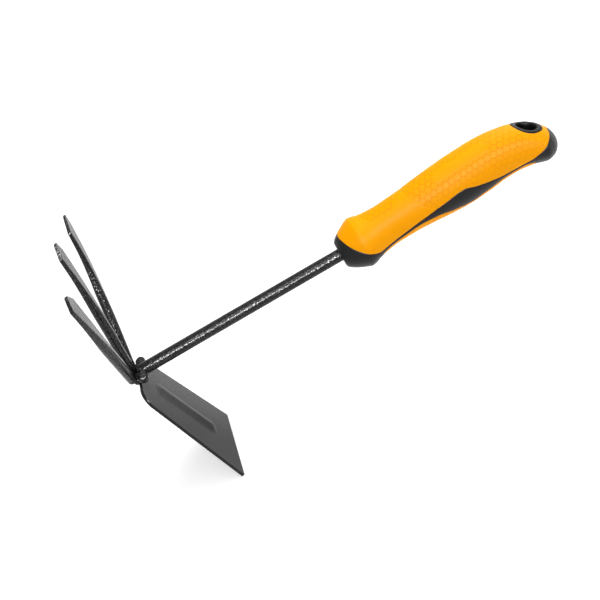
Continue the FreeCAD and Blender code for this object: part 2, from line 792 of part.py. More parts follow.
def soft_region():
    """A block through the grip with the soft moulding's side outline."""
    length, radius = size("grip_length"), size("grip_radius")
    front = size("hole_to_end") - length
    axis_z = -size("hole_rise")
    over = size("cut_overrun")

    def at(share):
        return FreeCAD.Vector(
            front + share[0] * length, -over, axis_z + share[1] * radius
        )

    upper = [at(share) for share in SOFT_UPPER_SHARES]
    lower = [at(share) for share in SOFT_LOWER_SHARES]
    low_z = axis_z - over
    corners = upper + [
        FreeCAD.Vector(front + length + over, -over, upper[-1].z),
        FreeCAD.Vector(front + length + over, -over, low_z),
        FreeCAD.Vector(lower[0].x, -over, low_z),
    ]
    corners += lower + [
        FreeCAD.Vector(lower[-1].x, -over, low_z),
        FreeCAD.Vector(front - over, -over, low_z),
        FreeCAD.Vector(front - over, -over, upper[0].z),
    ]
    face = Part.Face(Part.makePolygon(corners + corners[:1]))
    return face.extrude(FreeCAD.Vector(0, 2 * over, 0))


soft_block = doc.addObject("Part::Feature", "soft_block")
soft_block.Label = "soft_block"
soft_block.Shape = soft_region()

# The hanging hole's liner is a sleeve whose ends follow the grip's surface.
BORE = "dims.hole_diameter / 2"


def hole_bar(name, radius):
    """A round bar along the hanging hole, past both sides of the grip."""
    bar = doc.addObject("Part::Cylinder", name)
    bar.setExpression("Radius", radius)
    bar.setExpression("Height", "dims.cut_overrun * 2")
    turned_about_y(bar, "dims.hole_tilt")
    bar.setExpression("Placement.Base.x", "dims.cut_overrun * -sin(dims.hole_tilt * 1 deg)")
    bar.setExpression("Placement.Base.z", "dims.cut_overrun * -cos(dims.hole_tilt * 1 deg)")
    return bar


hole_space = hole_bar("hole_space", f"{BORE} + dims.liner_wall")
bore_bar = hole_bar("bore_bar", BORE)
sleeve = boolean("Common", "sleeve", hole_space, grip_form)
liner = boolean("Cut", "hang_hole_liner", sleeve, bore_bar)

grip_skin = boolean("Cut", "grip_skin", grip_form, grip_inner)
soft_parts = boolean("Common", "soft_parts", grip_skin, soft_block)
grip_cutters = fused("grip_cutters", [shaft, hole_space])
grip_overmould = boolean("Cut", "grip_overmould", soft_parts, grip_cutters)
hard_form = boolean("Cut", "hard_form", grip_form, grip_overmould)
grip_core = boolean("Cut", "grip_core", hard_form, grip_cutters)

# Checks and output

doc.recompute()
NODES = [
    shaft,
    hoe_blade,
    tine_left,
    tine_middle,
    tine_right,
    *welds,
    grip_core,
    grip_overmould,
    liner,
]
for item in doc.Objects:
    if "Invalid" in item.State or "Error" in item.State:
        raise RuntimeError(f"{item.Name} failed: {item.State}")
os.makedirs("parts", exist_ok=True)
for node in NODES:
    shape = node.Shape
    if shape.isNull() or not shape.isValid():
        raise RuntimeError(f"{node.Label} has no valid shape")
    if len(shape.Solids) != 1:
        raise RuntimeError(f"{node.Label} has {len(shape.Solids)} solids")
    shape.exportStep(f"parts/{node.Label}.step")
    box = shape.BoundBox
    print(
        f"{node.Label}: {shape.Volume:.1f} mm3,"
        f" x {box.XMin:.1f}..{box.XMax:.1f}"
        f" y {box.YMin:.1f}..{box.YMax:.1f} z {box.ZMin:.1f}..{box.ZMax:.1f}"
    )
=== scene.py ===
# %% [markdown]
# # A hand hoe and rake, from bare solids to a finished tool
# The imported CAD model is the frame: it says where every piece sits and how
# large it is. This lesson gives each piece the surface that the real one has.
# Forged steel gets soft corners and a hammered paint, the blade gets a pressed
# rib, and the moulded grip gets its inlaid black skin and its honeycomb.

# %% Load the frame
import math

import bmesh
import bpy
import numpy as np
from mathutils import Matrix, Vector
from mathutils.bvhtree import BVHTree


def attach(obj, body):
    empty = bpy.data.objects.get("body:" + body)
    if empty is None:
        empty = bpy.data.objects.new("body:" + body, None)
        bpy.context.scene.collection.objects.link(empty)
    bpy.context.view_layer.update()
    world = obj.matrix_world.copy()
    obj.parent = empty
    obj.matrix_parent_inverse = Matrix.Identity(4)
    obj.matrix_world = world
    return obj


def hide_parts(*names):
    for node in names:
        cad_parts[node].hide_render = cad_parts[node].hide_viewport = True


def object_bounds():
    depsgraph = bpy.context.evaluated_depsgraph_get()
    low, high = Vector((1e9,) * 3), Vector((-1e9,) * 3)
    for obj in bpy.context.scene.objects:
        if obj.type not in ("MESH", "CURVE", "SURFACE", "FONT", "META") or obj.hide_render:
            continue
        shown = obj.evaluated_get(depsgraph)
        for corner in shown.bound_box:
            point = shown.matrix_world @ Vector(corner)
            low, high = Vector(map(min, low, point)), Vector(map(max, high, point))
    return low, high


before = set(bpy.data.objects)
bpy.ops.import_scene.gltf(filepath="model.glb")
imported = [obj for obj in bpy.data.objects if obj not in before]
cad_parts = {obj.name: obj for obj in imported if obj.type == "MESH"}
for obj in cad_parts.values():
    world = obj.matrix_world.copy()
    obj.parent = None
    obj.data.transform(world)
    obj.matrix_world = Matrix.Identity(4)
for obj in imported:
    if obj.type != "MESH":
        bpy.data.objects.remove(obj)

cad_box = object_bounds()
print("CAD box, lowest and highest corner in metres:", cad_box)

# %% [markdown]
# Maker's drawings are in millimetres and Blender works in metres. The tool's
# sizes are written in millimetres and scaled once, when a mesh is made. Floor,
# lamps and materials are set out in metres. Places along the tool are told from
# two marks: the head, where steel meets steel on the shaft's axis, and the front
# rim of the grip.

# %% Marks along the tool
MM = 0.001
HEAD_TO_HOLE, BARE_SHAFT, GRIP_LENGTH = 271.1, 144.2, 146.1
SHAFT_AXIS_Z = -2.1
HEAD = np.array([-HEAD_TO_HOLE, 0.0, SHAFT_AXIS_Z])
GRIP_FRONT = -HEAD_TO_HOLE + BARE_SHAFT
print("head at", HEAD, "mm, grip from x =", round(GRIP_FRONT, 1), "mm")

# %% [markdown]
# ## The camera
# The viewpoint decides what shape people believe they see. This one stands on
# the near side, above the shaft, and looks down at it by some 37 degrees with
# a lens long enough to keep the blade and the pommel in proportion. It is
# rolled too, so that the tool lies aslant in the picture. A camera looks along
# its own -Z, so its matrix is built from three directions.

# %% Place the camera
CAMERA_PLACE = (-143.9, -345.6, 248.8)
RIGHT_OF_PICTURE = (0.8647, -0.2761, -0.4197)
TOP_OF_PICTURE = (0.5005, 0.5441, 0.6733)
LENS, SENSOR_WIDTH, SIGHT_LIMIT = 42.0, 36.0, 20.0

camera_data = bpy.data.cameras.new("portrait_camera")
camera_data.sensor_width = SENSOR_WIDTH
camera_data.lens = LENS
camera_data.clip_end = SIGHT_LIMIT
camera = bpy.data.objects.new("portrait_camera", camera_data)
bpy.context.collection.objects.link(camera)
camera_right = Vector(RIGHT_OF_PICTURE).normalized()
camera_back = camera_right.cross(Vector(TOP_OF_PICTURE).normalized()).normalized()
camera_up = camera_back.cross(camera_right)
turn = Matrix((camera_right, camera_up, camera_back)).transposed().to_4x4()
camera.matrix_world = Matrix.Translation(Vector(CAMERA_PLACE) * MM) @ turn
bpy.context.scene.camera = camera
print("camera at", [round(v, 3) for v in camera.matrix_world.translation])

# %% [markdown]
# ## Floor and light
# A product portrait wants a floor that vanishes. The floor here is matt and
# nearly white, and what the camera, a mirror or glass sees of it gains a glow
# that grows with the distance, so it is white all the way to the horizon and
# still holds the soft shadow under the blade. The sky is plain white to the
# same three, and much weaker where it lights the tool.
# Three lamps add to it: a large one overhead, a small one on the near side and
# one from beyond the grip's end that lights the blade. The fourth is a
# photographer's highlight card, long and narrow, over the near side. It lights
# nothing by itself and only shows in gloss, where it draws the broken streak
# along the shaft.

# %% Helpers for node trees
def new_material(name):
    material = bpy.data.materials.new(name)
    material.use_nodes = True
    tree = material.node_tree
    return material, tree, tree.nodes["Principled BSDF"]


def node(tree, kind, **settings):
    made = tree.nodes.new(kind)
    for name, value in settings.items():
        setattr(made, name, value)
    return made


def link(tree, source, target):
    tree.links.new(source, target)


def set_inputs(made, values):
    for socket, value in values.items():
        made.inputs[socket].default_value = value


def object_place(tree):
    return node(tree, "ShaderNodeTexCoord").outputs["Object"]


# %% Sums in node trees
def reckoned(tree, kind, operation, first, second, output):
    """One sum; plain numbers go straight onto the node's own sockets."""
    made = node(tree, kind, operation=operation)
    for socket, value in zip(made.inputs, (first, second)):
        if isinstance(value, (int, float, tuple)):
            socket.default_value = value
        elif value is not None:
            link(tree, value, socket)
    return made.outputs[output]


def maths(tree, operation, first, second=None):
    return reckoned(tree, "ShaderNodeMath", operation, first, second, 0)


def vector_maths(tree, operation, first, second=None, output=0):
    return reckoned(tree, "ShaderNodeVectorMath", operation, first, second, output)


def map_range(tree, value, limits, **settings):
    made = node(tree, "ShaderNodeMapRange", **settings)
    set_inputs(made, limits)
    link(tree, value, made.inputs["Value"])
    return made.outputs["Result"]


def seen_directly(tree):
    """One for rays from the camera, a mirror or glass, nought for the rest."""
    rays = node(tree, "ShaderNodeLightPath").outputs
    seen = rays["Is Camera Ray"]
    for kind in ("Is Glossy Ray", "Is Transmission Ray"):
        seen = maths(tree, "MAXIMUM", seen, rays[kind])
    return seen


# %% A floor that fades to white
FLOOR_SIZE, FLOOR_BELOW_TOOL = 6.0, 0.4 * MM

floor_material, floor_tree, floor_shader = new_material("pale_floor")
set_inputs(floor_shader, {"Base Color": (0.93, 0.93, 0.93, 1), "Roughness": 0.9,
                          "Specular IOR Level": 0.1, "Emission Color": (1, 1, 1, 1)})
far_off = vector_maths(floor_tree, "LENGTH", object_place(floor_tree), output=1)
glow = map_range(floor_tree, far_off, {"From Min": 0.5, "From Max": 1.8,
                                       "To Min": 0.32, "To Max": 0.8})
shown = maths(floor_tree, "MULTIPLY", glow, seen_directly(floor_tree))
link(floor_tree, shown, floor_shader.inputs["Emission Strength"])
floor_z = cad_box[0][2] - FLOOR_BELOW_TOOL
bpy.ops.mesh.primitive_plane_add(size=FLOOR_SIZE, location=(0, 0, floor_z))
floor = bpy.context.object
floor.name = "floor"
floor.data.materials.append(floor_material)
print("floor at z =", round(floor_z, 4))

# %% The sky around the floor
SKY_LIGHT = 0.39

world = bpy.data.worlds.new("plain_sky")
bpy.context.scene.world = world
world.use_nodes = True
sky_tree = world.node_tree
sky = sky_tree.nodes["Background"]
set_inputs(sky, {"Color": (1, 1, 1, 1)})
sky_strength = map_range(sky_tree, seen_directly(sky_tree), {"To Min": SKY_LIGHT})
link(sky_tree, sky_strength, sky.inputs["Strength"])
bpy.context.scene.view_settings.view_transform = "Standard"
print("sky lights the tool at", SKY_LIGHT)

# %% Three lamps and a highlight card
MIDDLE = (-0.13, 0.0, 0.0)
HEAD_SIDE = (-0.26, 0.0, 0.0)


def wide_lamp(name, place, aim, size, watts):
    lamp_data = bpy.data.lights.new(name, "AREA")
    lamp_data.shape = "RECTANGLE"
    lamp_data.size, lamp_data.size_y = size
    lamp_data.energy = watts
    lamp = bpy.data.objects.new(name, lamp_data)
    bpy.context.collection.objects.link(lamp)
    lamp.location = place
    facing = (Vector(aim) - Vector(place)).to_track_quat("-Z", "Y")
    lamp.rotation_euler = facing.to_euler()
    print(name, "of", watts, "W set")
    return lamp


wide_lamp("overhead_lamp", (0.05, -0.20, 0.95), MIDDLE, (1.6, 0.45), 9.4)
wide_lamp("near_side_lamp", (-0.58, -0.76, 0.80), HEAD_SIDE, (0.24, 0.16), 1.2)
wide_lamp("grip_end_lamp", (0.45, 0.42, 0.42), HEAD_SIDE, (0.5, 0.4), 2.4)
card = wide_lamp("highlight_card", (0.0, -0.86, 0.57), MIDDLE, (1.36, 0.30), 42.0)
card.visible_diffuse = False

# %% [markdown]
# ## From arrays of points to meshes
# Most pieces here are skins: rows of points across the piece, one row after
# another along it. One helper turns such rows into quads, another hands the
# finished piece to the frame so that it rides with the tool and stands for
# the CAD node of the same part.

# %% Skins from rows of points
def skin_faces(rows, columns, closed):
    last = columns if closed else columns - 1
    faces = []
    for i in range(rows - 1):
        for j in range(last):
            k = (j + 1) % columns
            faces.append((i * columns + j, i * columns + k,
                          (i + 1) * columns + k, (i + 1) * columns + j))
    return faces


def tube_faces(rows, columns):
    """A closed skin with one face over the first ring and one over the last."""
    first = tuple(range(columns))[::-1]
    last = tuple(range((rows - 1) * columns, rows * columns))
    return skin_faces(rows, columns, closed=True) + [first, last]


def mesh_piece(name, points, faces, material):
    """A smooth mesh from points in millimetres, in the frame's axes."""
    mesh = bpy.data.meshes.new(name)
    mesh.from_pydata((np.asarray(points) * MM).tolist(), [], faces)
    mesh.validate()
    mesh.update()
    mesh.shade_smooth()
    mesh.materials.append(material)
    piece = bpy.data.objects.new(name, mesh)
    bpy.context.collection.objects.link(piece)
    return piece


# %% Finish a piece and hand it over
def make_outward(piece):
    """Turn all faces of a closed piece to face outwards."""
    work = bmesh.new()
    work.from_mesh(piece.data)
    bmesh.ops.recalc_face_normals(work, faces=work.faces)
    work.to_mesh(piece.data)
    work.free()


def hand_over(piece, cad_nodes):
    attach(piece, "root")
    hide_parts(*cad_nodes)
    print(piece.name, "has", len(piece.data.polygons), "faces")


# %% Curves through a table of stations
def through_stations(table_x, table_y, x):
    """A smooth curve through the stations that never swings past them."""
    xs, ys = np.asarray(table_x, float), np.asarray(table_y, float)
    step, rise = np.diff(xs), np.diff(ys)
    slope = rise / step
    bend = np.zeros(len(xs))
    bend[0], bend[-1] = slope[0], slope[-1]
    for i in range(1, len(xs) - 1):
        if slope[i - 1] * slope[i] > 0:
            w1, w2 = 2 * step[i] + step[i - 1], step[i] + 2 * step[i - 1]
            bend[i] = (w1 + w2) / (w1 / slope[i - 1] + w2 / slope[i])
    at = np.clip(np.searchsorted(xs, x) - 1, 0, len(xs) - 2)
    t = (x - xs[at]) / step[at]
    return (ys[at] * (1 + 2 * t) * (1 - t) ** 2
            + bend[at] * step[at] * t * (1 - t) ** 2
            + ys[at + 1] * t * t * (3 - 2 * t)
            + bend[at + 1] * step[at] * t * t * (t - 1))


# %% [markdown]
# ## Hammered paint
# The rod and the tines are coated with a dark hammered powder paint. It pools
# into shallow pits about a millimetre wide, and fine metal flakes float in it,
# which is why the highlight breaks up into sparks. One layer of noise makes the
# pits. A finer one picks the places where a flake comes to the surface.

# %% Noise, colour ramp and bump
def noise(tree, place, scale, detail, roughness=0.5):
    made = node(tree, "ShaderNodeTexNoise")
    set_inputs(made, {"Scale": scale, "Detail": detail, "Roughness": roughness})
    link(tree, place, made.inputs["Vector"])
    return made.outputs["Fac"]


def ramp(tree, source, stops):
    """Blend between two stops; a single number stands for a grey."""
    made = node(tree, "ShaderNodeValToRGB")
    for element, (place, colour) in zip(made.color_ramp.elements, stops):
        element.position = place
        rgb = colour if isinstance(colour, tuple) else (colour,) * 3
        element.color = (*rgb, 1)
    link(tree, source, made.inputs["Fac"])
    return made.outputs["Color"]


def bump(tree, height, depth, before=None):
    made = node(tree, "ShaderNodeBump")
    set_inputs(made, {"Strength": 1.0, "Distance": depth})
    link(tree, height, made.inputs["Height"])
    if before:
        link(tree, before, made.inputs["Normal"])
    return made.outputs["Normal"]


# %% Mix the hammered dark paint
PIT_SCALE, FLAKE_SCALE, FLAKE_BAND = 680.0, 1500.0, 0.07
FLAKE_HEIGHT = 0.12
PAINT_BLACK = (0.007, 0.007, 0.0072)


def hammered_paint(name, flake_from, glint, depth):
    material, tree, shader = new_material(name)
    place = object_place(tree)
    pits = noise(tree, place, PIT_SCALE, 1.0)
    fine = noise(tree, place, FLAKE_SCALE, 2.0, 0.6)
    flake_to = flake_from + FLAKE_BAND
    flakes = ramp(tree, fine, [(flake_from, 0.0), (flake_to, 1.0)])
    colour = ramp(tree, fine, [(flake_from, PAINT_BLACK), (flake_to, glint)])
    link(tree, flakes, shader.inputs["Metallic"])
    link(tree, colour, shader.inputs["Base Color"])
    set_inputs(shader, {"Roughness": 0.14, "Specular IOR Level": 0.20})
    first = bump(tree, fine, depth * FLAKE_HEIGHT)
    link(tree, bump(tree, pits, depth, first), shader.inputs["Normal"])
    return material


rod_paint = hammered_paint("hammered_dark_paint", 0.565, 0.09, 0.25 * MM)
weld_paint = hammered_paint("painted_weld", 0.60, 0.04, 0.09 * MM)
print("hammered paint mixed")

# %% [markdown]
# ## The shaft
# The shaft is a plain round bar, and the CAD node already has its true shape,
# so it stays and only gets the paint.

# %% Paint the shaft
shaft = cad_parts["shaft"]
for material_slot in shaft.material_slots:
    material_slot.material = rod_paint
print("shaft painted,", len(shaft.material_slots), "slot")

# %% [markdown]
# ## Three forged tines
# Each tine starts as a six millimetre rod. The smith draws it down on the
# anvil, so it gets wider and thinner towards the tip and ends in a blunt point.
# Level sections, each a rectangle with rounded corners, carry the shape: at
# the root the corners are so round that the section is a circle. The tables
# say how the lean, the spread and the section change as the tine rises.

# %% Sizes of a tine
RISES = [0.0, 0.12, 0.27, 0.43, 0.48, 0.53, 0.58, 0.72, 0.87]
MIDDLE_LEANS = [0.0, 0.125, 0.30, 0.475, 0.53, 0.585, 0.64, 0.785, 0.91]
OUTER_LEANS = [0.0, 0.14, 0.31, 0.48, 0.536, 0.594, 0.65, 0.79, 0.91]
SPREADS = [0.0, 0.155, 0.345, 0.53, 0.585, 0.639, 0.69, 0.815, 0.925]
WIDENINGS = [0.0, 0.0, 0.0, 0.02, 0.049, 0.104, 0.17, 0.46, 0.94]
THINNINGS = [0.0, 0.0, 0.0, 0.08, 0.162, 0.292, 0.42, 0.72, 0.96]
ROUNDINGS = [0.97, 0.97, 0.97, 0.90, 0.80, 0.68, 0.58, 0.42, 0.42]
ROD, FLAT_WIDTH, FLAT_THICKNESS = 6.0, 11.8, 2.0
ROOT_HEIGHT, POINT_LENGTH, POINT_WIDTH = 3.0, 7.0, 2.4
POINT_CORNER, POINT_THINNING, POINT_START = 0.42, 0.25, 0.04
# The tip's last ring and its small end face: how far each lies below the tip,
# then the face's shares of the ring's depth and width, and its corner.
LAST_RING_DROP, END_FACE_DROP = 0.05, 0.02
END_FACE_DEPTH, END_FACE_WIDTH, END_FACE_CORNER = 0.6, 0.75, 0.3
# The root's dome: how far below the root, and which share of the rod's radius.
ROOT_DOME = [(2.2, 0.70), (1.95, 0.80), (1.5, 0.89), (0.8, 0.97)]
BODY_ROWS, POINT_ROWS = 70, 14

# %% One section of a tine
ARC_POINTS, EDGE_POINTS = 9, 7
CORNERS = [(1, 1, 0), (-1, 1, 90), (-1, -1, 180), (1, -1, 270)]


def rounded_slab(half_through, half_across, corner):
    """Points round a rectangle with rounded corners, as offsets along x, y."""
    corner = min(corner, half_through * 0.995, half_across * 0.995)
    arcs = []
    for sx, sy, start in CORNERS:
        for k in range(ARC_POINTS):
            angle = math.radians(start + 90 * k / (ARC_POINTS - 1))
            arcs.append((sx * (half_through - corner) + corner * math.cos(angle),
                         sy * (half_across - corner) + corner * math.sin(angle)))
    arcs = np.array(arcs).reshape(len(CORNERS), ARC_POINTS, 2)
    ring = []
    for arc, following in zip(arcs, np.roll(arcs, -1, axis=0)):
        ring.extend(arc)
        for e in range(1, EDGE_POINTS):
            ring.append(arc[-1] + (following[0] - arc[-1]) * e / EDGE_POINTS)
    return np.array(ring)


# %% Sections from root to point
def tine_rows(height, lean, spread, leans):
    """Of each section: height, lean, spread, half depth, half width, corner."""
    slant = math.sqrt(1 + (spread / height) ** 2)
    run = height - ROOT_HEIGHT - POINT_LENGTH
    rows = []
    for drop, share in ROOT_DOME:
        half = ROD / 2 * share
        rows.append((ROOT_HEIGHT - drop, 0.0, 0.0, half, half * slant, half))
    for rise in np.linspace(0, RISES[-1], BODY_ROWS):
        drawn = through_stations(RISES, THINNINGS, rise)
        thick = ROD - (ROD - FLAT_THICKNESS) * drawn
        wide = ROD + (FLAT_WIDTH - ROD) * through_stations(RISES, WIDENINGS, rise)
        rows.append((ROOT_HEIGHT + run * rise / RISES[-1],
                     lean * through_stations(RISES, leans, rise),
                     spread * through_stations(RISES, SPREADS, rise),
                     thick / 2, wide * slant / 2,
                     thick / 2 * through_stations(RISES, ROUNDINGS, rise)))
    up, ahead, aside, deep, wide, _ = rows[-1]
    for t in np.linspace(POINT_START, 1, POINT_ROWS):
        rows.append((up + POINT_LENGTH * t, ahead + (lean - ahead) * t,
                     aside + (spread - aside) * t, deep * (1 - POINT_THINNING * t),
                     wide + (POINT_WIDTH / 2 - wide) * t, POINT_CORNER))
    up, ahead, aside, deep, wide, corner = rows[-1]
    rows[-1] = (up - LAST_RING_DROP, ahead, aside, deep, wide, corner)
    rows.append((up - END_FACE_DROP, ahead, aside, deep * END_FACE_DEPTH,
                 wide * END_FACE_WIDTH, END_FACE_CORNER))
    return rows


# %% Forge the tines
def tine(name, height, lean, setback, spread, root_aside, leans):
    rows = tine_rows(height, lean, spread, leans)
    points = []
    for up, ahead, aside, half_through, half_across, corner in rows:
        for dx, dy in rounded_slab(half_through, half_across, corner):
            points.append((HEAD[0] - setback + ahead + dx,
                           root_aside + aside + dy, HEAD[2] + up))
    faces = tube_faces(len(rows), len(points) // len(rows))
    piece = mesh_piece(name + "_forged", points, faces, rod_paint)
    make_outward(piece)
    hand_over(piece, [name])


tine("tine_middle", height=99.5, lean=16.2, setback=2.2, spread=0.0,
     root_aside=0.0, leans=MIDDLE_LEANS)
for name, side in (("tine_left", -1), ("tine_right", 1)):
    tine(name, height=92.4, lean=17.9, setback=3.0, spread=36.8 * side,
         root_aside=7.5 * side, leans=OUTER_LEANS)

# %% [markdown]
# ## The hoe blade
# A press cuts the blade from two millimetre sheet and pushes a long rib into
# it, which keeps the sheet from bending in hard soil. Seen from the front the
# rib stands proud, and its flanks run out softly into the sheet. Front and back
# are two skins over one outline, and a fine bevel breaks their edges.
# Its satin coat is sandy and grey. Painted light and shade lie in its colour: it
# is lighter on the far side and goes darker towards the near side and the cutting edge.

# %% Mix the satin paint
SANDY_DARK, SANDY_LIGHT = (0.020, 0.020, 0.020), (0.146, 0.147, 0.146)
SAND_SCALE, CLOUD_SCALE = 1700.0, 60.0
PAINTED_LIGHT_TOWARDS = (0.0, 0.8, 0.35)
PAINTED_SHADE_RANGE = {"From Min": -0.036, "From Max": 0.012, "To Min": 0.10}


def multiplied(tree, first, second):
    """One colour times another."""
    mix = node(tree, "ShaderNodeMix", data_type="RGBA", blend_type="MULTIPLY")
    set_inputs(mix, {"Factor": 1.0})
    link(tree, first, mix.inputs[6])
    link(tree, second, mix.inputs[7])
    return mix.outputs[2]


def satin_paint():
    material, tree, shader = new_material("satin_grey_paint")
    place = object_place(tree)
    grain = noise(tree, place, SAND_SCALE, 3.0, 0.6)
    cloud = noise(tree, place, CLOUD_SCALE, 3.0)
    base = ramp(tree, grain, [(0.32, SANDY_DARK), (0.68, SANDY_LIGHT)])
    shade = ramp(tree, cloud, [(0.3, 0.92), (0.7, 1.0)])
    # Painted light and shade: lighter towards the far side, darker towards the near side
    # and the cutting edge.
    across = vector_maths(tree, "DOT_PRODUCT", place, PAINTED_LIGHT_TOWARDS, output=1)
    painted_shade = map_range(tree, across, PAINTED_SHADE_RANGE, interpolation_type="SMOOTHSTEP")
    coated = multiplied(tree, multiplied(tree, base, shade), painted_shade)
    link(tree, coated, shader.inputs["Base Color"])
    set_inputs(shader, {"Roughness": 0.42, "Specular IOR Level": 0.16})
    link(tree, bump(tree, grain, 0.05 * MM), shader.inputs["Normal"])
    return material


blade_paint = satin_paint()
print("satin paint mixed")

# %% The blade's outline and rib
BLADE_LEAN = math.radians(10.9)
BLADE_SETBACK, BLADE_TOP, BLADE_LENGTH = 1.0, 3.8, 93.5
BLADE_TOP_WIDTH, BLADE_EDGE_WIDTH, SHEET = 42.2, 59.6, 2.0
SHOULDER, CUTTING_CORNER = 8.5, 0.8
RIB_WIDTH, RIB_HEIGHT, RIB_START, RIB_LENGTH = 9.6, 1.9, 18.5, 57.0
RIB_CREST, RIB_REACH, RIB_FALL = 1.5, 5.6, 1.7


def blade_half_width(down):
    share = (down - BLADE_TOP) / BLADE_LENGTH
    half = (BLADE_TOP_WIDTH + (BLADE_EDGE_WIDTH - BLADE_TOP_WIDTH) * share) / 2
    from_top = np.clip(down - BLADE_TOP, 0, SHOULDER)
    half = half - (SHOULDER - np.sqrt(SHOULDER ** 2 - (SHOULDER - from_top) ** 2))
    from_edge = np.clip(BLADE_TOP + BLADE_LENGTH - down, 0, CUTTING_CORNER)
    rounding = np.sqrt(CUTTING_CORNER ** 2 - (CUTTING_CORNER - from_edge) ** 2)
    return half - (CUTTING_CORNER - rounding)


def rib_height(aside, down):
    """A rounded crest whose flanks run out into the sheet."""
    middle = RIB_START + RIB_LENGTH / 2
    straight = (RIB_LENGTH - RIB_WIDTH) / 2
    beyond = np.maximum(np.abs(down - middle) - straight, 0)
    off = np.hypot(np.hypot(aside, beyond), RIB_CREST) - RIB_CREST
    share = np.clip(1 - off / RIB_REACH, 0, 1)
    return RIB_HEIGHT * share ** RIB_FALL


# %% Points of the blade
SHOULDER_ROWS, STRAIGHT_ROWS, CORNER_ROWS, BLADE_COLUMNS = 14, 150, 6, 121


def on_blade(forward, aside, down):
    """A place told from the blade's front face, in the frame's axes."""
    x = (HEAD[0] + forward * math.cos(BLADE_LEAN) + down * math.sin(BLADE_LEAN)
         - BLADE_SETBACK)
    z = HEAD[2] + forward * math.sin(BLADE_LEAN) - down * math.cos(BLADE_LEAN)
    return np.stack([x, aside + 0 * x, z], axis=-1)


def blade_grid():
    """Rows of places on the sheet, closer where its outline turns."""
    quarter = math.pi / 2
    turn_in = SHOULDER * (1 - np.cos(np.linspace(0, quarter, SHOULDER_ROWS)))
    straight = np.linspace(SHOULDER, BLADE_LENGTH - CUTTING_CORNER, STRAIGHT_ROWS)
    rounding = 1 - np.sin(np.linspace(0, quarter, CORNER_ROWS))
    turn_out = BLADE_LENGTH - CUTTING_CORNER * rounding
    downs = BLADE_TOP + np.concatenate([turn_in, straight[1:], turn_out[1:]])
    shares = np.linspace(-1, 1, BLADE_COLUMNS)
    down, share = np.meshgrid(downs, shares, indexing="ij")
    return share * blade_half_width(down), down


def round_the_rim(rows, columns):
    """Numbers of the grid's outer points, in order round the outline."""
    rim = list(range(columns))
    rim += [i * columns + columns - 1 for i in range(1, rows)]
    rim += [(rows - 1) * columns + j for j in range(columns - 2, -1, -1)]
    return rim + [i * columns for i in range(rows - 2, 0, -1)]


# %% Press the blade
FRONT_INSET = 0.04
BROKEN_EDGE, BROKEN_OVER = 0.28 * MM, math.radians(50)


def press_blade():
    aside, down = blade_grid()
    front = on_blade(rib_height(aside, down) - FRONT_INSET, aside, down)
    back = on_blade(-SHEET, aside, down)
    points = np.concatenate([front.reshape(-1, 3), back.reshape(-1, 3)])
    half = down.size
    skins = skin_faces(*down.shape, closed=False)
    skins += [tuple(half + i for i in face[::-1]) for face in skins]
    rim = round_the_rim(*down.shape)
    edge = [(b, a, a + half, b + half) for a, b in zip(rim, rim[1:] + rim[:1])]
    piece = mesh_piece("blade_pressed", points, skins + edge, blade_paint)
    # The rim faces take the darker weld paint: painted shade along the sheet's edge.
    piece.data.materials.append(weld_paint)
    for polygon in piece.data.polygons[len(skins):]:
        polygon.material_index = 1
    make_outward(piece)
    bevel = piece.modifiers.new("broken_edge", "BEVEL")
    bevel.width = BROKEN_EDGE
    bevel.segments = 2
    bevel.limit_method = "ANGLE"
    bevel.angle_limit = BROKEN_OVER
    hand_over(piece, ["hoe_blade"])


press_blade()

# %% [markdown]
# ## Weld beads
# Rods, tines and blade are held by two welds. A bead of weld is a lumpy round
# ridge with ripples left by the arc, and thick paint softens it. Each bead here
# is a skin round a straight core line, with ripples along it. Its ends taper
# off, apart from an end that stays inside the shaft.

# %% Lumps of a weld bead
BEAD_ROWS, BEAD_COLUMNS, LUMPS = 46, 40, 6
RIPPLE, RIPPLE_PITCH, RIPPLE_SLANT, LUMP = 0.05, 3.1, 0.6, 0.030
PAINTED_SHARE, THINNEST = 0.97, 0.0004


def swelling(angle, aside, lumps):
    """How far ripples and lumps stand out, as a share of the radius."""
    swell = RIPPLE * math.sin(aside * RIPPLE_PITCH + RIPPLE_SLANT * math.sin(angle))
    for wave, tilt, phase in lumps:
        waves_round = round(2 + 2 * abs(wave))
        swell += LUMP * math.sin(angle * waves_round + tilt * aside + 6 * phase)
    return swell


def bead_radius(aside, radius, start, stop, round_start):
    from_start = abs(aside - start) if round_start else radius
    inner = min(abs(stop - aside), from_start, radius)
    return math.sqrt(max(radius ** 2 - (radius - inner) ** 2, THINNEST))


# %% Lay the weld beads
def weld_bead(name, cad_node, ahead, above, radius, start, stop, round_start, seed):
    rng = np.random.default_rng(seed)
    lumps = rng.uniform(-1, 1, (LUMPS, 3))
    points = []
    for i in range(BEAD_ROWS):
        aside = start + (stop - start) * (i / (BEAD_ROWS - 1))
        body = bead_radius(aside, radius, start, stop, round_start)
        for j in range(BEAD_COLUMNS):
            angle = 2 * math.pi * j / BEAD_COLUMNS
            r = body * (1 + swelling(angle, aside, lumps)) * PAINTED_SHARE
            points.append((HEAD[0] + ahead + r * math.cos(angle), aside,
                           HEAD[2] + above + r * math.sin(angle)))
    faces = tube_faces(BEAD_ROWS, BEAD_COLUMNS)
    piece = mesh_piece(name, points, faces, weld_paint)
    make_outward(piece)
    hand_over(piece, [cad_node])


weld_bead("root_bead", "root_weld", ahead=-0.9, above=-1.3, radius=3.1,
          start=-8.8, stop=8.8, round_start=True, seed=3)
weld_bead("near_bead", "shaft_weld_left", ahead=3.1, above=0.0, radius=3.3,
          start=-1.5, stop=-11.2, round_start=False, seed=5)
weld_bead("far_bead", "shaft_weld_right", ahead=3.1, above=0.0, radius=3.3,
          start=1.5, stop=11.2, round_start=False, seed=8)

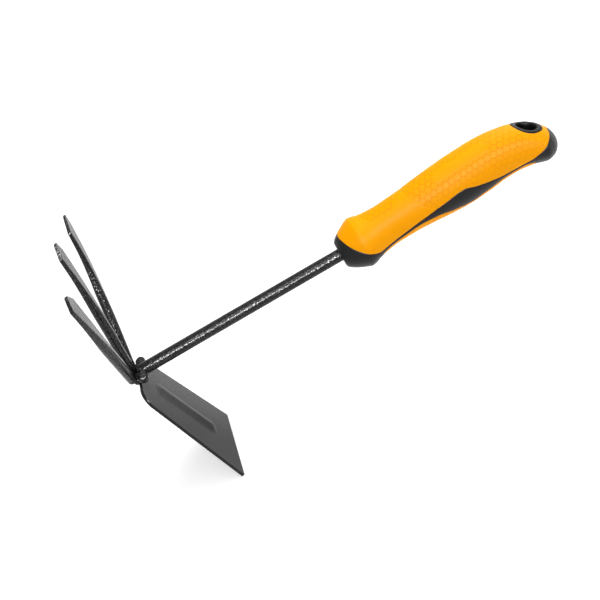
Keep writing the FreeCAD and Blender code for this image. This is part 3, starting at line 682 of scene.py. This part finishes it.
# %% [markdown]
# ## The grip's form
# The grip is one flowing body: a small nose cone, a ring to stop the hand, a
# narrow waist for thumb and finger, a belly for the palm, and a flat pommel.
# Its sections are ovals. The table gives, for each station along the grip, the
# half width and half height as shares of the ring's radius, and how far the
# middle rises as a share of the highest rise.

# %% Stations of the grip
RING_RADIUS, GRIP_RISE = 16.45, 5.95
STATIONS = np.array([
    (0.0000, 0.498, 0.498, 0.00), (0.0090, 0.590, 0.590, 0.02),
    (0.0520, 0.838, 0.838, 0.09), (0.0670, 0.901, 0.901, 0.11),
    (0.0800, 0.955, 0.955, 0.13), (0.0925, 0.996, 0.996, 0.14),
    (0.0940, 1.000, 1.000, 0.14), (0.0955, 0.999, 0.999, 0.14),
    (0.1130, 0.976, 0.976, 0.15), (0.1330, 0.918, 0.918, 0.17),
    (0.1770, 0.815, 0.860, 0.27), (0.2310, 0.765, 0.830, 0.38),
    (0.3130, 0.780, 0.845, 0.51), (0.4020, 0.835, 0.908, 0.62),
    (0.4910, 0.897, 0.977, 0.67), (0.5800, 0.935, 1.017, 0.74),
    (0.6620, 0.925, 1.003, 0.88), (0.7380, 0.895, 0.942, 0.99),
    (0.8060, 0.900, 0.870, 0.89), (0.8670, 0.950, 0.815, 0.58),
    (0.9160, 0.985, 0.775, 0.12), (0.9500, 0.850, 0.680, -0.18),
    (0.9740, 0.660, 0.530, -0.34), (0.9900, 0.450, 0.365, -0.40),
    (1.0000, 0.210, 0.170, -0.42)])


def grip_section(along):
    """Half width, half height and middle of the oval, in millimetres."""
    wide, high, rise = (through_stations(STATIONS[:, 0], STATIONS[:, k], along)
                        for k in (1, 2, 3))
    return wide * RING_RADIUS, high * RING_RADIUS, rise * GRIP_RISE


# %% [markdown]
# ## Where black meets yellow
# The soft black skin is let into the hard yellow core: a collar round the nose,
# a stripe along each flank that swells into a wedge at the belly, and a cap on
# the pommel. Seen from the side its two edges are curves, and an oval crosses a
# level line at one angle only, so each curve turns into an angle at every
# station. The mesh lines then follow the edge exactly and it stays crisp.

# %% The edges of the soft skin
UPPER_EDGE = np.array([
    (0.000, 0.900), (0.021, 0.760), (0.051, 0.450), (0.106, 0.028),
    (0.156, -0.235), (0.198, -0.205), (0.252, -0.120), (0.352, 0.065),
    (0.455, 0.255), (0.550, 0.405), (0.600, 0.270), (0.665, 0.120),
    (0.735, -0.010), (0.800, -0.032), (0.8445, -0.003), (0.8774, 0.100),
    (0.9055, 0.200), (0.9274, 0.285), (0.9575, 0.350), (0.985, 0.395),
    (1.010, 0.430)])
LOWER_EDGE = np.array([
    (0.140, -0.640), (0.170, -0.420), (0.230, -0.310), (0.290, -0.210),
    (0.352, -0.130), (0.420, -0.150), (0.500, -0.320), (0.568, -0.400),
    (0.640, -0.300), (0.720, -0.185), (0.815, -0.150), (0.866, -0.260)])
COLLAR_END, CAP_START = LOWER_EDGE[0, 0], LOWER_EDGE[-1, 0]


def edge_angle(edge, along):
    """Where the edge meets the oval: 90 degrees is the crown's middle."""
    _, high, rise = grip_section(along)
    level = through_stations(edge[:, 0], edge[:, 1], along) * RING_RADIUS
    return np.degrees(np.arcsin(np.clip((level - rise) / high, -1, 1)))


# %% [markdown]
# ## Fine relief of the grip
# Close up the yellow shell has more to show. A fine parting groove follows the
# black skin, and fine lines frame a thumb rest, the palm field, a plain oblong
# panel, the hole and the pommel's rim. Each is a small push along the surface,
# worked out from the distance to a line. Thumb rest and palm field are pressed
# with honeycomb too. It is finer than the mesh, so the mesh only stores where
# it is, and the plastic's node tree draws it.

# %% Distances to the fields of the crown
PALM_FRONT, PALM_BEND = 49.3, 0.0235
THUMB_MIDDLE, THUMB_HALF_LENGTH, THUMB_HALF_WIDTH = 32.4, 11.4, 8.0
PANEL_MIDDLE, PANEL_LENGTH, PANEL_WIDTH = (85.3, 6.8), 36.5, 7.6
PANEL_CORNER = 1.5
HOLE_MIDDLE, HOLE_MARGIN = 132.0, 11.2


def thumb_distance(along, across):
    ratio = np.hypot((along - THUMB_MIDDLE) / THUMB_HALF_LENGTH,
                     across / THUMB_HALF_WIDTH)
    return (ratio - 1) * THUMB_HALF_WIDTH


def palm_distance(along, across):
    return along - (PALM_FRONT + PALM_BEND * across ** 2)


def panel_distance(along, across):
    dx = np.abs(along - PANEL_MIDDLE[0]) - (PANEL_LENGTH / 2 - PANEL_CORNER)
    dy = np.abs(np.abs(across) - PANEL_MIDDLE[1]) - (PANEL_WIDTH / 2 - PANEL_CORNER)
    outside = np.hypot(np.maximum(dx, 0), np.maximum(dy, 0))
    return outside + np.minimum(np.maximum(dx, dy), 0) - PANEL_CORNER


def hole_distance(along, across):
    return np.hypot(along - HOLE_MIDDLE, across) - HOLE_MARGIN


# %% Pressed lines and honeycomb fields
# Each line's half width and depth.
PALM_LINE, THUMB_LINE, HOLE_LINE = (0.55, 0.24), (0.6, 0.10), (0.5, 0.11)
PANEL_LINE, RIM_LINE = (0.4, 0.11), (0.45, 0.12)
RIM_LINE_INSET, RIM_LINE_FROM, RIM_LINE_RISE = 2.7, 122.0, 8
FIELD_FADE, PLAIN_FADE = 1.2, 0.8
CROWN_REACH, CROWN_FADE, FLANK_SHARE = 24.0, 12.0, 0.35


def dent(distance, width, depth):
    return -depth * np.exp(-(distance / width) ** 2)


def smooth_step(x):
    t = np.clip(x, 0, 1)
    return t * t * (3 - 2 * t)


def yellow_relief(along, across, from_edge):
    relief = dent(palm_distance(along, across), *PALM_LINE)
    relief = relief + dent(thumb_distance(along, across), *THUMB_LINE)
    relief = relief + dent(hole_distance(along, across), *HOLE_LINE)
    rim_line = dent(from_edge - RIM_LINE_INSET, *RIM_LINE)
    relief = relief + rim_line * smooth_step((along - RIM_LINE_FROM) / RIM_LINE_RISE)
    return relief + dent(panel_distance(along, across), *PANEL_LINE)


def honeycomb_field(along, across):
    """How deep the honeycomb is pressed, from nought to one."""
    thumb = smooth_step(0.5 - thumb_distance(along, across) / FIELD_FADE)
    palm = smooth_step(palm_distance(along, across) / FIELD_FADE)
    plain = smooth_step(0.5 - panel_distance(along, across) / PLAIN_FADE)
    near_hole = smooth_step(0.5 - hole_distance(along, across) / PLAIN_FADE)
    on_crown = smooth_step((CROWN_REACH - np.abs(across)) / CROWN_FADE)
    fields = np.maximum(thumb, palm * (1 - plain) * (1 - near_hole))
    return fields * (FLANK_SHARE + (1 - FLANK_SHARE) * on_crown)


# %% [markdown]
# ## Skins of the grip
# One helper covers a stretch of the grip between two edge angles. It spaces its
# lines closer at the edges, presses the parting groove there, and keeps two
# numbers for every point: how far along the grip it is, and how far round from
# the stretch's middle line. They become the texture map of the honeycomb. A
# flat end face of shrinking rings closes the collar round the shaft and the cap
# at its tip.

# %% Points and directions of a stretch
def oval_points(alongs, low_angle, high_angle, columns):
    """Rows of points on the ovals between two edges, and the ovals' middles."""
    spread = 0.5 - 0.5 * np.cos(np.linspace(0, math.pi, columns))
    wide, high, rise = grip_section(alongs)
    low, top = np.radians(low_angle), np.radians(high_angle)
    angle = low[:, None] + (top - low)[:, None] * spread[None, :]
    x = np.repeat((GRIP_FRONT + alongs * GRIP_LENGTH)[:, None], columns, axis=1)
    y = wide[:, None] * np.cos(angle)
    z = rise[:, None] + high[:, None] * np.sin(angle)
    middles = np.stack([x[:, 0], 0 * rise, rise + SHAFT_AXIS_Z], axis=-1)
    return np.stack([x, y, z + SHAFT_AXIS_Z], axis=-1), middles


def outward_directions(place, middles):
    normal = np.cross(np.gradient(place, axis=1), np.gradient(place, axis=0))
    length = np.linalg.norm(normal, axis=2, keepdims=True)
    normal = normal / np.maximum(length, 1e-9)
    outward = place - middles[:, None]
    flip = np.sign((normal * outward).sum(axis=2, keepdims=True))
    return normal * np.where(flip == 0, 1, flip)


def distance_round(place):
    """How far round each point lies from the first of its row."""
    step = np.linalg.norm(np.diff(place, axis=1), axis=2)
    start = np.zeros((len(place), 1))
    return np.concatenate([start, np.cumsum(step, axis=1)], axis=1)


# %% Close an end and keep the map
END_RINGS = (0.04, 0.12, 0.4, 0.7, 1.0)


def close_end(layers, middle, row, radius):
    """Add rings that shrink from an end row to a small circle."""
    spokes = layers[0][row] - middle
    reach = np.linalg.norm(spokes, axis=1, keepdims=True)
    rings = np.stack([middle + spokes * (1 - share + share * radius / reach)
                      for share in END_RINGS])
    added = [rings] + [np.repeat(layer[row][None], len(rings), axis=0)
                       for layer in layers[1:]]
    if row == 0:
        return [np.concatenate([new[::-1], old]) for new, old in zip(added, layers)]
    return [np.concatenate([old, new]) for new, old in zip(added, layers)]


def add_map(piece, along_mm, round_mm):
    """Keep the two distances as a texture map, in millimetres."""
    layer = piece.data.uv_layers.new(name="millimetres")
    corner = np.empty(len(piece.data.loops), dtype=np.int32)
    piece.data.loops.foreach_get("vertex_index", corner)
    pairs = np.stack([along_mm[corner], round_mm[corner]], axis=1)
    layer.data.foreach_set("uv", pairs.ravel().astype(np.float32))
    field = piece.data.attributes.new("honeycomb", "FLOAT", "POINT")
    depth = honeycomb_field(along_mm, round_mm).astype(np.float32)
    field.data.foreach_set("value", depth)


# %% Cover a stretch of the grip
GROOVE_WIDTH, GROOVE_DEPTH = 0.32, 0.22


def groove(distance):
    return dent(distance, GROOVE_WIDTH, GROOVE_DEPTH)


def grip_stretch(name, alongs, low_angle, high_angle, columns, material,
                 relief=None, groove_at_start=False, groove_at_end=False,
                 end_face=None):
    place, middles = oval_points(alongs, low_angle, high_angle, columns)
    outward = outward_directions(place, middles)
    across = distance_round(place)
    total = across[:, -1:]
    along_mm = place[..., 0] - GRIP_FRONT
    round_mm = across - total / 2
    push = groove(across) + groove(total - across)
    if groove_at_start:
        push += groove(along_mm - along_mm[0, 0])
    if groove_at_end:
        push += groove(along_mm[-1, 0] - along_mm)
    if relief:
        push += relief(along_mm, round_mm, np.minimum(across, total - across))
    layers = [place + outward * push[..., None], along_mm, round_mm]
    if end_face:
        row, radius = end_face
        layers = close_end(layers, middles[row], row, radius)
    place, along_mm, round_mm = layers
    faces = skin_faces(*along_mm.shape, closed=False)
    piece = mesh_piece(name, place.reshape(-1, 3), faces, material)
    add_map(piece, along_mm.ravel(), round_mm.ravel())
    return piece


# %% [markdown]
# ## Yellow plastic with honeycomb
# The hard shell is a bright yellow-orange plastic, satin all over. Its fields
# of small hexagons are drawn with the classic trick for a hexagon grid: two
# shifted grids of rectangles, of which each point takes the nearer middle. The
# distance to the hexagon's edge then gives thin grooves, bumped in and painted
# a darker yellow as painted shade.

# %% Draw the hexagons
HEXAGON = 4.0
HALF_CELL = (0.5, math.sqrt(3) / 2, 0.0)
CELL = (1.0, math.sqrt(3), 1.0)
# A hundred cells each way keep the map's numbers above nought.
ABOVE_NOUGHT = (100.0, 173.205, 0)


def hexagon_edge(tree):
    """How far from the nearest hexagon's edge: nought on it, a half at most."""
    uv = node(tree, "ShaderNodeUVMap", uv_map="millimetres").outputs["UV"]
    place = vector_maths(tree, "MULTIPLY", uv, (1 / HEXAGON, 1 / HEXAGON, 0))
    place = vector_maths(tree, "ADD", place, ABOVE_NOUGHT)
    cells = []
    for shift in ((0.0, 0.0, 0.0), HALF_CELL):
        moved = vector_maths(tree, "SUBTRACT", place, shift)
        wrapped = vector_maths(tree, "MODULO", moved, CELL)
        cells.append(vector_maths(tree, "SUBTRACT", wrapped, HALF_CELL))
    lengths = [vector_maths(tree, "LENGTH", cell, output=1) for cell in cells]
    nearer = node(tree, "ShaderNodeMix", data_type="VECTOR")
    second_is_nearer = maths(tree, "LESS_THAN", lengths[1], lengths[0])
    link(tree, second_is_nearer, nearer.inputs["Factor"])
    link(tree, cells[0], nearer.inputs[4])
    link(tree, cells[1], nearer.inputs[5])
    folded = vector_maths(tree, "ABSOLUTE", nearer.outputs[1])
    slanted = vector_maths(tree, "DOT_PRODUCT", folded, HALF_CELL, output=1)
    straight = node(tree, "ShaderNodeSeparateXYZ")
    link(tree, folded, straight.inputs[0])
    reach = maths(tree, "MAXIMUM", slanted, straight.outputs["X"])
    return maths(tree, "SUBTRACT", 0.5, reach)


# %% Mix the yellow plastic
SHELL_YELLOW, GROOVE_SHADE_YELLOW = (1.0, 0.378, 0.0), (0.93, 0.300, 0.0)
GROOVE_WALL = {"From Min": 0.01, "From Max": 0.075}
SHELL_GRAIN, SHELL_GRAIN_DEPTH, HONEYCOMB_DEPTH = 1900.0, 0.015 * MM, 0.14 * MM


def yellow_plastic():
    material, tree, shader = new_material("yellow_plastic")
    place = object_place(tree)
    stored = node(tree, "ShaderNodeAttribute", attribute_name="honeycomb")
    field = stored.outputs["Fac"]
    raised = map_range(tree, hexagon_edge(tree), GROOVE_WALL,
                       interpolation_type="SMOOTHSTEP")
    lines = maths(tree, "MULTIPLY", maths(tree, "SUBTRACT", 1.0, raised), field)
    # The grooves' darker yellow is painted shade.
    base = ramp(tree, lines, [(0.0, SHELL_YELLOW), (1.0, GROOVE_SHADE_YELLOW)])
    link(tree, base, shader.inputs["Base Color"])
    grain = noise(tree, place, SHELL_GRAIN, 3.0, 0.6)
    rough = ramp(tree, grain, [(0.3, 0.35), (0.7, 0.45)])
    link(tree, rough, shader.inputs["Roughness"])
    set_inputs(shader, {"Specular IOR Level": 0.038})
    first = bump(tree, grain, SHELL_GRAIN_DEPTH)
    height = maths(tree, "MULTIPLY", raised, field)
    link(tree, bump(tree, height, HONEYCOMB_DEPTH, first), shader.inputs["Normal"])
    return material


yellow = yellow_plastic()
print("yellow plastic mixed")

# %% [markdown]
# ## Soft black moulding
# Soft-touch rubber is nearly black and dull, with a fine even grain from the
# spark-eroded mould. A little sheen lifts its edges, as it does on the real
# skin. The hole's liner is a harder black plastic of the same kind; its still
# blacker colour is partly painted shade for the deep bore.

# %% Mix the soft black
BLACK_GRAIN, BLACK_GRAIN_DEPTH = 3000.0, 0.03 * MM
GRAIN_DARK, GRAIN_LIGHT = 0.85, 1.2


def soft_black(name, base, roughness, gloss):
    material, tree, shader = new_material(name)
    grain = noise(tree, object_place(tree), BLACK_GRAIN, 4.0, 0.65)
    colour = ramp(tree, grain, [(0.3, tuple(GRAIN_DARK * v for v in base)),
                                (0.7, tuple(GRAIN_LIGHT * v for v in base))])
    link(tree, colour, shader.inputs["Base Color"])
    set_inputs(shader, {"Roughness": roughness, "Specular IOR Level": gloss,
                        "Sheen Weight": 0.015, "Sheen Roughness": 0.5})
    link(tree, bump(tree, grain, BLACK_GRAIN_DEPTH), shader.inputs["Normal"])
    return material


black = soft_black("soft_black_rubber", (0.010, 0.010, 0.0105), 0.36, 0.13)
# The liner's blacker base colour is partly painted shade in the deep bore.
liner_black = soft_black("liner_black_plastic", (0.004, 0.004, 0.0043), 0.33, 0.08)
print("black rubber and plastic mixed")

# %% [markdown]
# ## Put the grip together
# The yellow crown runs from the collar to the pommel over the top, and the
# yellow belly closes the underside. The black skin is four stretches: collar,
# two flank stripes and cap. Where the crown's two edges meet on top, its
# section shrinks to nothing, which closes it at both ends.

# %% Where the crown begins and ends
TOP_ANGLE = 89.99


def crown_begins():
    """Halve the way to where the upper edge leaves the middle line."""
    low, high = 0.0, 0.10
    for _ in range(50):
        middle = (low + high) / 2
        if edge_angle(UPPER_EDGE, np.array([middle]))[0] > TOP_ANGLE:
            low = middle
        else:
            high = middle
    return (low + high) / 2


def crown_ends():
    """The first place near the tip where the edges meet on top."""
    places = np.linspace(0.95, 1.0, 400)
    return places[np.argmax(edge_angle(UPPER_EDGE, places) > TOP_ANGLE)]


crown_start, crown_end = crown_begins(), crown_ends()
print("crown from", round(float(crown_start), 3), "to", round(float(crown_end), 3))

# %% Yellow crown and belly
crown_alongs = np.linspace(crown_start, crown_end, 460)
crown_angles = edge_angle(UPPER_EDGE, crown_alongs)
crown = grip_stretch("grip_crown", crown_alongs, crown_angles, 180 - crown_angles,
                     150, yellow, relief=yellow_relief)
belly_alongs = np.linspace(COLLAR_END, CAP_START, 230)
belly_angles = edge_angle(LOWER_EDGE, belly_alongs)
belly = grip_stretch("grip_belly", belly_alongs, -180 - belly_angles, belly_angles,
                     90, yellow, groove_at_start=True, groove_at_end=True)
print("crown and belly laid")

# %% Black collar, stripes and cap
# The row that an end face starts from, and the radius that it shrinks to.
ROUND_THE_SHAFT, SHUT_TIP = (0, 4.05), (-1, 0.03)

collar_alongs = np.concatenate([np.linspace(0, 0.012, 10),
                                np.linspace(0.014, COLLAR_END, 60)])
collar_angles = edge_angle(UPPER_EDGE, collar_alongs)
collar = grip_stretch("soft_collar", collar_alongs, -180 - collar_angles,
                      collar_angles, 130, black, groove_at_end=True,
                      end_face=ROUND_THE_SHAFT)
stripe_angles = edge_angle(UPPER_EDGE, belly_alongs)
far_stripe = grip_stretch("soft_stripe_far", belly_alongs, belly_angles,
                          stripe_angles, 26, black)
near_stripe = grip_stretch("soft_stripe_near", belly_alongs, 180 - stripe_angles,
                           180 - belly_angles, 26, black)
cap_alongs = np.concatenate([np.linspace(CAP_START, 0.985, 70),
                             np.linspace(0.986, 1.0, 16)])
cap_angles = edge_angle(UPPER_EDGE, cap_alongs)
cap = grip_stretch("soft_cap", cap_alongs, -180 - cap_angles, cap_angles, 130,
                   black, groove_at_start=True, end_face=SHUT_TIP)
print("soft skin laid")

# %% [markdown]
# ## The hanging hole
# A sleeve lines the hole, so cord and hook do not wear the plastic. Its flange
# follows the swell of the pommel, then rolls over into the bore. To cut the
# hole, faces inside its circle go, and the ragged points that are left slide
# out to the circle. A ray along the hole's axis finds the surface there again.

# %% The hole's axis and the surface round it
HOLE_TILT = math.radians(24.0)
HOLE_AXIS = Vector((math.sin(HOLE_TILT), 0, math.cos(HOLE_TILT)))
HOLE_AHEAD = Vector((math.cos(HOLE_TILT), 0, -math.sin(HOLE_TILT)))
BORE, FLANGE = 5.9, 9.5
RAY_FROM = 40.0 * MM
surfaces = []
for piece in (crown, belly, cap):
    work = bmesh.new()
    work.from_mesh(piece.data)
    surfaces.append(BVHTree.FromBMesh(work))
    work.free()


def beside_the_axis(ahead, aside):
    return HOLE_AHEAD * ahead + Vector((0, aside, 0))


def surface_height(side, ahead, aside):
    """How high above the hole's middle the grip's surface lies."""
    base = beside_the_axis(ahead, aside) * MM
    start = base + HOLE_AXIS * side * RAY_FROM
    heights = []
    for tree in surfaces:
        hit = tree.ray_cast(start, -HOLE_AXIS * side)[0]
        if hit is not None:
            heights.append((hit - base).dot(HOLE_AXIS) / MM)
    return max(heights, key=lambda height: height * side)


# %% Cut the hole through the skins
def punch(piece, side):
    """Open the circle on one side; tell how many points slid to its rim."""
    work = bmesh.new()
    work.from_mesh(piece.data)
    inside = {}
    for vertex in work.verts:
        ahead, aside = vertex.co.dot(HOLE_AHEAD) / MM, vertex.co.y / MM
        off = math.hypot(ahead, aside)
        if off < FLANGE and vertex.co.dot(HOLE_AXIS) * side > 0:
            grow = FLANGE / max(off, 0.1)
            inside[vertex] = (ahead * grow, aside * grow)
    gone = [face for face in work.faces if all(v in inside for v in face.verts)]
    bmesh.ops.delete(work, geom=gone, context="FACES")
    left = [vertex for vertex in inside if vertex.is_valid and vertex.link_faces]
    for vertex in left:
        ahead, aside = inside[vertex]
        height = surface_height(side, ahead, aside)
        vertex.co = (beside_the_axis(ahead, aside) + HOLE_AXIS * height) * MM
    work.to_mesh(piece.data)
    work.free()
    return len(left)


print("points slid to the hole's rim:",
      punch(crown, 1), punch(belly, -1), punch(cap, -1))

# %% Turn the sleeve
# Radius, radius at which the skin's height is read, and lift above the skin.
SLEEVE_PROFILE = [
    (9.53, 9.5, -0.60), (9.52, 9.5, -0.05), (9.35, 9.35, 0.10),
    (9.05, 9.05, 0.14), (8.40, 8.40, 0.12), (7.80, 7.80, 0.05),
    (7.55, 7.55, -0.02), (7.40, 7.40, -0.14), (7.10, 7.10, -0.20),
    (6.75, 6.75, -0.26), (6.40, 6.60, -0.50), (6.10, 6.60, -1.10),
    (BORE, 6.60, -2.20)]
SLEEVE_COLUMNS = 96


def sleeve_rings(side):
    """Rings from the flange's rim down into the bore."""
    points = []
    for radius, read_at, lift in SLEEVE_PROFILE:
        for a in np.linspace(0, 2 * math.pi, SLEEVE_COLUMNS + 1)[:-1]:
            height = surface_height(side, read_at * math.cos(a), read_at * math.sin(a))
            point = (beside_the_axis(radius * math.cos(a), radius * math.sin(a))
                     + HOLE_AXIS * (height + side * lift))
            points.append(tuple(point))
    return np.array(points).reshape(len(SLEEVE_PROFILE), SLEEVE_COLUMNS, 3)


rings = np.concatenate([sleeve_rings(1), sleeve_rings(-1)[::-1]])
sleeve = mesh_piece("hole_sleeve", rings.reshape(-1, 3),
                    skin_faces(len(rings), SLEEVE_COLUMNS, closed=True), liner_black)
make_outward(sleeve)
hand_over(sleeve, ["hang_hole_liner"])

# %% Hand the grip over
def joined(name, pieces):
    bpy.ops.object.select_all(action="DESELECT")
    for piece in pieces:
        piece.select_set(True)
    bpy.context.view_layer.objects.active = pieces[0]
    bpy.ops.object.join()
    pieces[0].name = name
    return pieces[0]


shell = joined("grip_shell", [crown, belly])
skin = joined("grip_soft_skin", [collar, far_stripe, near_stripe, cap])
for piece in (shell, skin):
    make_outward(piece)
hand_over(shell, ["grip_core"])
hand_over(skin, ["grip_overmould"])
